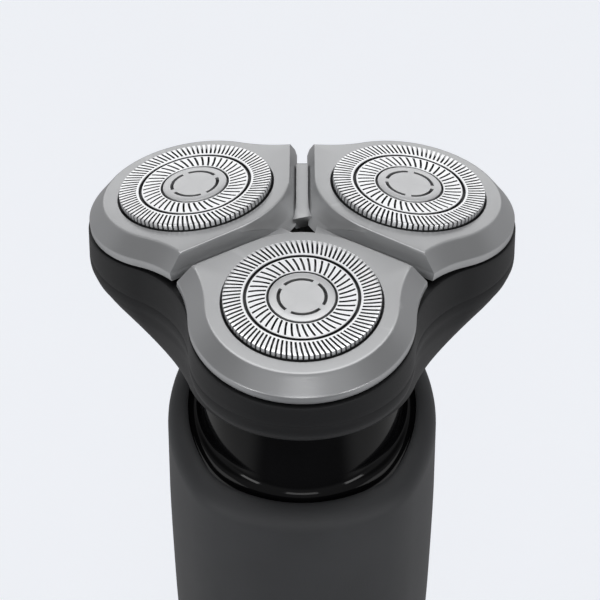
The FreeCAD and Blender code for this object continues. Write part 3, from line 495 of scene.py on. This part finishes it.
def petal_outline(height, inset, samples):
    """Half of the petal's outline at one height, from straight out (0) to the nose (180 degrees)."""
    depth = min(1.0, max(0.0, (PETAL_TOP - height) / (PETAL_TOP - PETAL_SHOULDER)))
    whole = min(1.0, max(0.0, (PETAL_TOP - height) / (PETAL_TOP - PETAL_BOTTOM)))
    gap = GAP_TOP + (GAP_BOTTOM - GAP_TOP) * whole + inset
    axis = (-UNIT_RING - height * math.sin(LEAN)) / math.cos(LEAN)
    reach = -axis * math.sin(math.radians(60)) - gap
    hollow = VALLEY_RADIUS - PETAL_FLARE * depth + inset

    def lobe(angle):
        scoop = min(1.0, max(0.0, (math.degrees(angle) - 140) / 30))
        curve = (depth * (1 - scoop) + whole * scoop) ** (1 + 0.7 * scoop)
        return PETAL_RADIUS + PETAL_FLARE * curve - inset

    def wall(angle):
        slant = math.cos(angle - math.radians(150))
        return reach / slant if slant > 0.05 else 1000.0

    def valley(angle):
        along = math.cos(angle) * VALLEY.x + math.sin(angle) * VALLEY.y
        inside = along * along - (VALLEY.length_squared - hollow * hollow)
        return along - math.sqrt(inside) if inside > 0 else 1000.0

    def ear(angle):
        return max(lobe(angle), valley(angle))

    low, high = math.radians(89), math.radians(149.9)
    for _ in range(40):
        middle = (low + high) / 2
        if ear(middle) < wall(middle):
            low = middle
        else:
            high = middle
    corner = (low + high) / 2
    tail_lobe = lobe(math.radians(165))
    tail = math.radians(150) + (math.acos(reach / tail_lobe) if tail_lobe > reach else 0.0)
    spans = ((0.0, corner, samples[0], ear), (corner, tail, samples[1], wall),
             (tail, math.pi, samples[2], lobe))
    points = []
    for begin, finish, count, rule in spans:
        for step in range(count):
            angle = begin + (finish - begin) * step / count
            radius = min(wall(angle), lobe(angle)) if angle < math.radians(88) else rule(angle)
            points.append((radius * math.cos(angle), radius * math.sin(angle)))
    points.append((-min(lobe(math.pi), wall(math.pi)), 0.0))
    return points


def petal(side):
    samples = (64, 24, 30)
    levels = [(PETAL_TOP, 0.34), (PETAL_TOP - 0.012, 0.17), (PETAL_TOP - 0.06, 0.05),
              (PETAL_TOP - 0.16, 0.0)]
    bevel_steps = 9
    top, shoulder = PETAL_TOP - 0.16, PETAL_SHOULDER + 0.12
    levels += [(top + (shoulder - top) * step / bevel_steps, 0.0) for step in range(1, bevel_steps + 1)]
    levels += [(PETAL_SHOULDER, 0.02), (PETAL_SHOULDER - 0.14, 0.0), (PETAL_BOTTOM + 0.12, 0.0),
               (PETAL_BOTTOM + 0.03, 0.04), (PETAL_BOTTOM, 0.13), (PETAL_BOTTOM, 1.1),
               (PETAL_SHOULDER, 1.2), (PETAL_TOP - 1.2, 1.25)]
    rings = []
    for height, inset in levels:
        half = petal_outline(height, inset, samples)
        whole = half + [(x, -y) for x, y in reversed(half[1:-1])]
        rings.append([(x, y, height) for x, y in whole])
    angles = [math.atan2(y, x) for x, y, z in rings[0]]
    for radius, height in ((PETAL_HOLE, PETAL_TOP - 1.2), (PETAL_HOLE, PETAL_TOP - 0.08),
                           (PETAL_HOLE + 0.08, PETAL_TOP)):
        rings.append([(radius * math.cos(angle), radius * math.sin(angle), height) for angle in angles])
    item = ring_object(f"petal_frame_{side}", rings, FINISH["petal"], unit_frame(side), True, 38.0)
    adopt(item, f"petal_{side}", f"petal_{side}")
    for way in (1, -1):
        adopt(lug(side, way), f"petal_{side}", f"petal_{side}")


def lug(side, way):
    """The ear under a petal that turns on a pivot pin."""
    top = PETAL_TOP - 1.15
    foot = []
    for step in range(1, 16):
        angle = math.radians(-180 * step / 16)
        foot.append((LUG_HALF * math.cos(angle), LUG_DEPTH + LUG_HALF * math.sin(angle)))
    outline = [(LUG_HALF, top), (LUG_HALF, LUG_DEPTH), *foot, (-LUG_HALF, LUG_DEPTH), (-LUG_HALF, top)]
    hole = [(x, LUG_DEPTH + z) for x, z, _ in round_ring(LUG_BORE, 0.0, len(outline), 1.2)]
    hole.reverse()
    far = LUG_NEAR + LUG_WIDTH
    rings = []
    for ring, at in ((outline, LUG_NEAR), (outline, far), (hole, far), (hole, LUG_NEAR)):
        rings.append([(x, way * at, z) for x, z in ring])
    name = f"petal_lug_{side}_{'a' if way > 0 else 'b'}"
    return ring_object(name, rings, FINISH["petal"], unit_frame(side), True, 40.0)


def divider_bar(plan, sections):
    """A bar from its plan and its sections (height, growth), sloping down outward, on a thin web."""
    middle = sum(x for x, y in plan) / len(plan)
    points = []
    for height, grow in sections:
        for x, y in plan:
            along = 1 if x > middle else -1
            aside = 1 if y > 0 else -1
            slope = BAR_SLOPE * (x - plan[0][0])
            points.append((x + along * grow * 0.6, aside * max(0.34, abs(y) + grow), height - slope))
    count = len(plan)
    faces = ring_faces(len(sections), count)
    faces.append(tuple(range(count)))
    faces.append(tuple(reversed(range(len(points) - count, len(points)))))
    start = len(points)
    for height in (BAR_TOP - 2.6, WEB_LOW):
        for x, y in ((0.5, -WEB_HALF), (WEB_OUT, -WEB_HALF), (WEB_OUT, WEB_HALF), (0.5, WEB_HALF)):
            points.append((x, y, min(height, BAR_TOP - 3.4) if x < 3 else height))
    faces += [(start, start + 1, start + 2, start + 3), (start + 7, start + 6, start + 5, start + 4)]
    for a, b in ((0, 1), (1, 2), (2, 3), (3, 0)):
        faces.append((start + a, start + b, start + b + 4, start + a + 4))
    return points, faces


def divider():
    """Three bars between the petals; the inner ends are cut on the slant."""
    out, half = 17.35, 0.93
    plan = [(1.75, 1.4), (2.75, -1.45), (3.7, -1.2), (5.0, -1.02), (7.5, -half), (out, -half), (out, half),
            (7.5, half), (5.0, 1.0), (3.3, 1.15)]
    sections = ((BAR_TOP, -0.10), (BAR_TOP - 0.03, -0.03), (BAR_TOP - 0.12, 0.0), (BAR_TOP - 1.1, -0.14),
                (BAR_TOP - 2.0, -0.48))
    points, faces = divider_bar(plan, sections)
    for index, degrees in enumerate((-30.0, 90.0, 210.0)):
        turn = Matrix.Rotation(math.radians(degrees), 4, "Z")
        item = make_object(f"divider_bar_{index}", points, faces, FINISH["petal"], turn, 30.0)
        adopt(item, "head", "divider")


# --- head housing --------------------------------------------------------------

def trefoil_radius(degrees, grow):
    """How far the three-lobed outline reaches in one direction, offset outward by grow."""
    away = math.radians((degrees + 90 + 60) % 120 - 60)
    lobe = LOBE_RADIUS + grow
    hollow = HOLLOW_RADIUS - grow
    share = lobe / (lobe + hollow)
    join_x = LOBE_CENTRE + (HOLLOW_CENTRE * 0.5 - LOBE_CENTRE) * share
    join_y = HOLLOW_CENTRE * math.sin(math.radians(60)) * share
    if abs(away) <= math.atan2(join_y, join_x):
        return LOBE_CENTRE * math.cos(away) + math.sqrt(lobe ** 2 - (LOBE_CENTRE * math.sin(away)) ** 2)
    slant = math.radians(60) - abs(away)
    return HOLLOW_CENTRE * math.cos(slant) - math.sqrt(hollow ** 2 - (HOLLOW_CENTRE * math.sin(slant)) ** 2)


def rim_height(degrees, radius):
    """The housing's top edge, parallel to the nearest petal and cut flat in the valleys."""
    away = math.radians((degrees + 90 + 60) % 120 - 60)
    outward = radius * math.cos(away)
    plane = UNIT_HEIGHT + (RIM_PLANE - (outward - UNIT_RING) * math.sin(LEAN)) / math.cos(LEAN)
    if plane <= RIM_FLAT - 3:
        return plane
    soft = 0.35
    return RIM_FLAT - soft * math.log(1 + math.exp((RIM_FLAT - plane) / soft))


def head_base():
    count = 360
    rings = []

    def add_ring(radius_at, height_at):
        ring = []
        for degrees in range(count):
            radius = radius_at(degrees)
            turn = math.radians(degrees)
            ring.append((radius * math.cos(turn), radius * math.sin(turn), height_at(degrees)))
        rings.append(ring)

    def rim(grow, drop):
        """A ring at the housing's leaning top edge."""
        def height_at(degrees):
            return min(RIM_FLAT, rim_height(degrees, trefoil_radius(degrees, 0))) - drop

        add_ring(lambda degrees: trefoil_radius(degrees, grow), height_at)

    def band(grow, height):
        """A level trefoil ring."""
        add_ring(lambda degrees: trefoil_radius(degrees, grow), lambda degrees: height)

    def funnel(share, grow):
        """A ring on the way from the trefoil, at share 0, to the round foot, at share 1."""
        height = BAND_LOW + (FUNNEL_LOW - BAND_LOW) * share
        add_ring(lambda degrees: trefoil_radius(degrees, 0) * (1 - share) + FUNNEL_RADIUS * share + grow,
                 lambda degrees: height)

    def circle(radius, height):
        add_ring(lambda degrees: radius, lambda degrees: height)

    rim(-1.6, 0.12)
    rim(-1.45, 0.0)
    rim(-0.22, 0.0)
    rim(-0.06, 0.06)
    rim(0.0, 0.22)
    rim(0.0, 0.9)
    for height, grow in ((148.0, 0.0), (CREASE + 0.16, 0.0), (CREASE + 0.05, -0.05), (CREASE - 0.05, -0.05),
                         (CREASE - 0.16, 0.0), (BAND_LOW + 1.4, 0.0), (BAND_LOW + 0.9, -0.04),
                         (BAND_LOW + 0.4, -0.22)):
        band(grow, height)
    for share, grow in ((0.02, -0.28), (0.06, -0.22), (0.11, -0.08)):
        funnel(share, grow)
    for share in (0.17, 0.25, 0.35, 0.45, 0.55, 0.65, 0.75, 0.85, 0.93, 0.985):
        funnel(share, 0.0)
    circle(FUNNEL_RADIUS, FUNNEL_LOW)
    circle(FUNNEL_RADIUS, HEAD_LOW + 0.2)
    circle(FUNNEL_RADIUS - 0.06, HEAD_LOW + 0.05)
    circle(FUNNEL_RADIUS - 0.2, HEAD_LOW)
    circle(SPIGOT_RADIUS, HEAD_LOW)
    circle(SPIGOT_RADIUS, SPIGOT_LOW + 0.4)
    circle(SPIGOT_RADIUS - 0.4, SPIGOT_LOW)
    circle(SPIGOT_BORE, SPIGOT_LOW)
    circle(SPIGOT_BORE, FUNNEL_LOW + 2.2)
    circle(FUNNEL_RADIUS - 3.0, FUNNEL_LOW + 2.2)
    band(-2.6, BAND_LOW)
    band(-2.6, 148.0)
    band(-1.6, 148.0)
    item = ring_object("head_housing", rings, FINISH["head_dark"], None, True, 30.0)
    adopt(item, "head", "head_base")


# --- handle --------------------------------------------------------------------

def squircle_radius(degrees, half):
    """How far a square with swollen sides reaches in one direction."""
    away = math.radians((degrees + 45) % 90 - 45)
    side = GRIP_SIDE * half
    centre = GRIP_CENTRE * half
    back = side - half
    lean = math.atan2(centre, centre + back)
    join = (side * math.cos(lean) - back, side * math.sin(lean))
    if abs(away) <= math.atan2(join[1], join[0]):
        return -back * math.cos(away) + math.sqrt(side ** 2 - (back * math.sin(away)) ** 2)
    bend = math.hypot(join[0] - centre, join[1] - centre)
    slant = math.radians(45) - abs(away)
    reach = centre * math.sqrt(2)
    return reach * math.cos(slant) + math.sqrt(bend ** 2 - (reach * math.sin(slant)) ** 2)


def handle_half(height):
    """Half the grip's width at a height, a smooth curve through its stations."""
    stations = HANDLE_HALVES
    if height <= stations[0][0]:
        return stations[0][1]
    slopes = []
    for index in range(len(stations)):
        before = stations[max(0, index - 1)]
        after = stations[min(len(stations) - 1, index + 1)]
        slopes.append((after[1] - before[1]) / (after[0] - before[0]))
    slopes[-1] = slopes[-2] = 0.0
    for index in range(len(stations) - 1):
        (low, first), (high, second) = stations[index], stations[index + 1]
        if height <= high:
            span = high - low
            part = (height - low) / span
            leaving = (part ** 3 - 2 * part ** 2 + part) * span * slopes[index]
            arriving = (part ** 3 - part ** 2) * span * slopes[index + 1]
            share = 3 * part ** 2 - 2 * part ** 3
            return (1 - share) * first + leaving + share * second + arriving
    return stations[-1][1]


def grip_point(degrees, height, inset):
    radius = squircle_radius(degrees, handle_half(height) - inset)
    turn = math.radians(degrees)
    return radius * math.cos(turn), radius * math.sin(turn)


def leaning_ring(inset, drop, count):
    """A ring on the grip's form, drop below the leaning rim plane."""
    ring = []
    for step in range(count):
        degrees = step * 360 / count
        x, y = grip_point(degrees, 120.0, inset)
        ring.append((x, y, RIM_HEIGHT + y * RIM_SLOPE - drop))
    return ring


def level_ring(inset, height, count):
    ring = []
    for step in range(count):
        degrees = step * 360 / count
        x, y = grip_point(degrees, height, inset)
        ring.append((x, y, height))
    return ring


def drill(item, height, radius):
    """Cuts a round hole through the front of item, along Y."""
    reach = 14.0
    place = Vector((0, -20, height)) * MM
    bpy.ops.mesh.primitive_cylinder_add(vertices=96, radius=radius * MM, depth=reach * MM, location=place,
                                        rotation=(math.pi / 2, 0, 0))
    cutter = bpy.context.object
    cut = item.modifiers.new("hole", "BOOLEAN")
    cut.operation = "DIFFERENCE"
    cut.solver = "EXACT"
    cut.object = cutter
    shape = bpy.data.meshes.new_from_object(item.evaluated_get(bpy.context.evaluated_depsgraph_get()))
    item.modifiers.clear()
    item.data = shape
    bpy.data.objects.remove(cutter)
    item.data.set_sharp_from_angle(angle=math.radians(32))


def handle_shell():
    count = RING_STEPS
    rings = [level_ring(0.0, HANDLE_LOW, count)]
    rings += [level_ring(0.0, height, count) for height in spread(STRAIGHT_LOW, STRAIGHT_HIGH, 46)]
    rings.append(leaning_ring(0.0, SHOULDER + 0.6, count))
    for turn in spread(0.0, math.pi / 2, 12):
        rings.append(leaning_ring(SHOULDER * (1 - math.cos(turn)), SHOULDER * (1 - math.sin(turn)), count))
    rings.append(leaning_ring(RIM_WALL, 0.05, count))
    rings.append(leaning_ring(RIM_WALL, 3.0, count))
    rings.append(leaning_ring(HANDLE_WALL, 3.0, count))
    for height in (STRAIGHT_HIGH, 96, 84, 72, 60, 48, 36, 24, HANDLE_LOW):
        rings.append(level_ring(HANDLE_WALL, height, count))
    item = ring_object("grip_shell", rings, FINISH["grip"], None, True, 32.0)
    drill(item, BUTTON_HEIGHT, BEZEL_RADIUS + 0.03)
    drill(item, LENS_HEIGHT, LENS_RADIUS + 0.03)
    adopt(item, "handle", "handle_shell")


def neck_collar():
    count = RING_STEPS
    rings = []

    def circle(radius, height):
        rings.append(round_ring(radius, height, count))

    def flare(share, rise):
        """A ring between the column and the deck's edge, rise above the leaning deck."""
        ring = []
        for step in range(count):
            degrees = step * 360 / count
            x, y = grip_point(degrees, 120.0, RIM_WALL + 0.1)
            edge = math.hypot(x, y)
            radius = COLUMN + (edge - COLUMN) * share
            x, y = x * radius / edge, y * radius / edge
            ring.append((x, y, RIM_HEIGHT + y * RIM_SLOPE - 0.5 + rise))
        rings.append(ring)

    circle(WELL_RADIUS, WELL_FLOOR)
    circle(WELL_RADIUS, COLUMN_TOP - 0.2)
    circle(WELL_RADIUS + 0.2, COLUMN_TOP)
    circle(COLUMN - 0.3, COLUMN_TOP)
    circle(COLUMN - 0.08, COLUMN_TOP - 0.08)
    circle(COLUMN, COLUMN_TOP - 0.3)
    for share, rise in ((0.0, 2.4), (0.03, 1.7), (0.10, 1.05), (0.20, 0.62), (0.34, 0.3), (0.52, 0.1),
                        (0.72, 0.02), (0.97, 0.0), (1.0, -0.06), (1.0, -2.6), (0.0, -3.4)):
        flare(share, rise)
    circle(COLUMN, NECK_LOW)
    circle(COLUMN - 1.6, NECK_LOW)
    circle(COLUMN - 1.6, WELL_FLOOR - 2.4)
    circle(SHAFT_HOLE, WELL_FLOOR - 2.4)
    circle(SHAFT_HOLE, WELL_FLOOR)
    item = ring_object("neck_gloss", rings, FINISH["gloss_black"], None, True, 40.0)
    adopt(item, "handle", "neck_collar")


def front_surface(x, height, proud):
    """The y of the grip's front face at x and height, moved out by proud."""
    half = handle_half(height) + proud
    side = GRIP_SIDE * half
    return -(math.sqrt(side ** 2 - x ** 2) - (side - half))


def front_disc(name, outline, height, material):
    """A round piece laid on the curved grip, from an outline of (radius, proud, depth).

    A point stands proud of the grip's face by that much, unless it has a depth, which is then its y.
    """
    count = 96
    rings = []
    for radius, proud, depth in outline:
        ring = []
        for step in range(count):
            turn = 2 * math.pi * step / count
            x, z = radius * math.cos(turn), height + radius * math.sin(turn)
            y = front_surface(x, z, proud) if depth is None else depth
            ring.append((x, y, z))
        rings.append(ring)
    return ring_object(name, rings, material, None, True, 32.0)


def power_button():
    """The dished button, the ring round it, and the lens below them."""
    tip = 0.02
    back = -16.5
    radius = BUTTON_RADIUS
    cap = [(tip, -0.62, None), (2.0, -0.56, None), (3.6, -0.36, None), (4.8, -0.1, None), (5.6, 0.08, None),
           (radius - 0.2, 0.12, None), (radius - 0.05, 0.06, None), (radius, -0.08, None),
           (radius, 0, back - 0.45), (1.6, 0, back - 0.45), (1.6, 0, back - 0.2), (tip, 0, back - 0.2)]
    item = front_disc("button_cap", cap, BUTTON_HEIGHT, FINISH["button"])
    adopt(item, "button", "power_button")
    inner, outer = BUTTON_RADIUS + 0.15, BEZEL_RADIUS
    ring = [(inner, 0, back), (inner, 0.05, None), (inner + 0.1, 0.2, None), (inner + 0.35, 0.26, None),
            (outer - 0.35, 0.24, None), (outer - 0.1, 0.16, None), (outer, 0.0, None), (outer, 0, back)]
    item = front_disc("button_ring", ring, BUTTON_HEIGHT, FINISH["bezel"])
    adopt(item, "handle", "button_bezel")
    radius = LENS_RADIUS
    glass = [(tip, 0.03, None), (0.9, 0.02, None), (radius - 0.12, 0.0, None), (radius, -0.1, None),
             (radius, 0, back + 0.2), (tip, 0, back + 0.2)]
    item = front_disc("indicator_glass", glass, LENS_HEIGHT, FINISH["lens"])
    adopt(item, "handle", "indicator_lens")


# --- setting -------------------------------------------------------------------

def floor():
    """A pale floor; its own faint glow keeps it even, and mirrors don't show it."""
    bpy.ops.mesh.primitive_plane_add(size=12, location=(0, 0, -0.0002))
    item = bpy.context.object
    item.name = "floor"
    paint = surface("floor_paint", (0.52, 0.535, 0.56), 0.9, variation=0.004, grain=30, bump=0.0,
                    specular=0.0)
    shader = paint.node_tree.nodes["Principled BSDF"]
    shader.inputs["Emission Color"].default_value = (0.812, 0.828, 0.863, 1)
    shader.inputs["Emission Strength"].default_value = FLOOR_GLOW
    item.data.materials.append(paint)
    item.visible_glossy = False


def area_light(name, place, target, width, height, power, colour=(1, 1, 1)):
    lamp = bpy.data.lights.new(name, "AREA")
    lamp.shape = "RECTANGLE"
    lamp.size = width
    lamp.size_y = height
    lamp.energy = power
    lamp.color = colour
    item = bpy.data.objects.new(name, lamp)
    item.location = place
    item.rotation_mode = "QUATERNION"
    item.rotation_quaternion = (Vector(target) - Vector(place)).to_track_quat("-Z", "Y")
    item.visible_camera = False
    bpy.context.scene.collection.objects.link(item)


def smooth_step(tree, value, start, end):
    """0 at start, 1 at end, soft between."""
    node = tree.nodes.new("ShaderNodeMapRange")
    node.interpolation_type = "SMOOTHSTEP"
    node.inputs["From Min"].default_value = start
    node.inputs["From Max"].default_value = end
    tree.links.new(value, node.inputs["Value"])
    return node.outputs["Result"]


def combine(tree, operation, first, second=None):
    node = tree.nodes.new("ShaderNodeMath")
    node.operation = operation
    tree.links.new(first, node.inputs[0])
    if second is not None:
        tree.links.new(second, node.inputs[1])
    return node.outputs["Value"]


def studio_world():
    """Soft, pale surroundings: darker at both front sides and low in front, bright low at both sides."""
    world = bpy.data.worlds.new("studio")
    world.use_nodes = True
    bpy.context.scene.world = world
    tree = world.node_tree
    nodes, links = tree.nodes, tree.links
    backdrop = nodes["Background"]
    backdrop.inputs["Color"].default_value = (0.84, 0.87, 0.915, 1)
    coordinates = nodes.new("ShaderNodeTexCoord")
    split = nodes.new("ShaderNodeSeparateXYZ")
    links.new(coordinates.outputs["Generated"], split.inputs["Vector"])
    ahead, height = split.outputs["Y"], split.outputs["Z"]
    aside = combine(tree, "ABSOLUTE", split.outputs["X"])
    flanks = smooth_step(tree, ahead, 0.45, 0.05)
    flanks = combine(tree, "MULTIPLY", flanks, smooth_step(tree, aside, 0.56, 0.78))
    flanks = combine(tree, "MULTIPLY", flanks, smooth_step(tree, height, 0.92, 0.70))
    flanks = combine(tree, "MULTIPLY", flanks, smooth_step(tree, height, 0.10, 0.35))
    low = smooth_step(tree, height, -0.05, -0.30)
    low = combine(tree, "MULTIPLY", low, smooth_step(tree, ahead, -0.15, -0.6))
    shade = combine(tree, "MAXIMUM", flanks, low)
    tone = nodes.new("ShaderNodeValToRGB")
    tone.color_ramp.elements[0].color = (WORLD_PALE, WORLD_PALE, WORLD_PALE * 1.02, 1)
    tone.color_ramp.elements[1].color = (WORLD_DARK, WORLD_DARK, WORLD_DARK * 1.01, 1)
    links.new(shade, tone.inputs["Fac"])
    beside = smooth_step(tree, height, -0.15, -0.45)
    beside = combine(tree, "MULTIPLY", beside, smooth_step(tree, aside, 0.55, 0.8))
    lift = nodes.new("ShaderNodeMix")
    lift.data_type = "RGBA"
    lift.inputs["B"].default_value = (LOW_SIDES, LOW_SIDES, LOW_SIDES, 1)
    links.new(beside, lift.inputs["Factor"])
    links.new(tone.outputs["Color"], lift.inputs["A"])
    lit = nodes.new("ShaderNodeBackground")
    links.new(lift.outputs["Result"], lit.inputs["Color"])
    path = nodes.new("ShaderNodeLightPath")
    blend = nodes.new("ShaderNodeMixShader")
    links.new(path.outputs["Is Camera Ray"], blend.inputs["Fac"])
    links.new(lit.outputs["Background"], blend.inputs[1])
    links.new(backdrop.outputs["Background"], blend.inputs[2])
    links.new(blend.outputs["Shader"], nodes["World Output"].inputs["Surface"])


def studio():
    floor()
    studio_world()
    head = (0, 0, 0.155)
    area_light("top_softbox", (0.0, 0.10, 0.95), head, 0.9, 0.7, 3.0)
    area_light("front_softbox", (0.0, -1.25, 0.55), head, 0.55, 0.35, 1.8)
    area_light("back_softbox", (0.0, 1.3, 0.6), head, 1.4, 0.5, 2.5)
    for way in (1, -1):
        area_light("low_softbox", (way * 0.75, -0.75, 0.16), head, 0.3, 0.25, 1.1)


def camera():
    """A long lens that looks down at the head's centre from in front."""
    data = bpy.data.cameras.new("camera")
    data.sensor_width = 36.0
    data.lens = 218.3
    data.clip_start = 0.02
    data.clip_end = 50.0
    item = bpy.data.objects.new("camera", data)
    target = Vector((0, 0, UNIT_HEIGHT * MM))
    back = Vector((0, -math.cos(CAMERA_ELEVATION), math.sin(CAMERA_ELEVATION)))
    item.location = target + back * CAMERA_DISTANCE
    pitch = CAMERA_ELEVATION + CAMERA_TILT
    look = Vector((0, math.cos(pitch), -math.sin(pitch)))
    look.rotate(Matrix.Rotation(CAMERA_PAN, 3, "Z"))
    item.rotation_mode = "QUATERNION"
    item.rotation_quaternion = look.to_track_quat("-Z", "Y")
    bpy.context.scene.collection.objects.link(item)
    bpy.context.scene.camera = item


def build():
    finish_cad_nodes()
    for side in SIDES:
        foil(side)
        trim(side)
        petal(side)
    divider()
    head_base()
    handle_shell()
    neck_collar()
    power_button()
    studio()
    camera()
    bpy.context.scene.view_settings.view_transform = "Standard"


build()
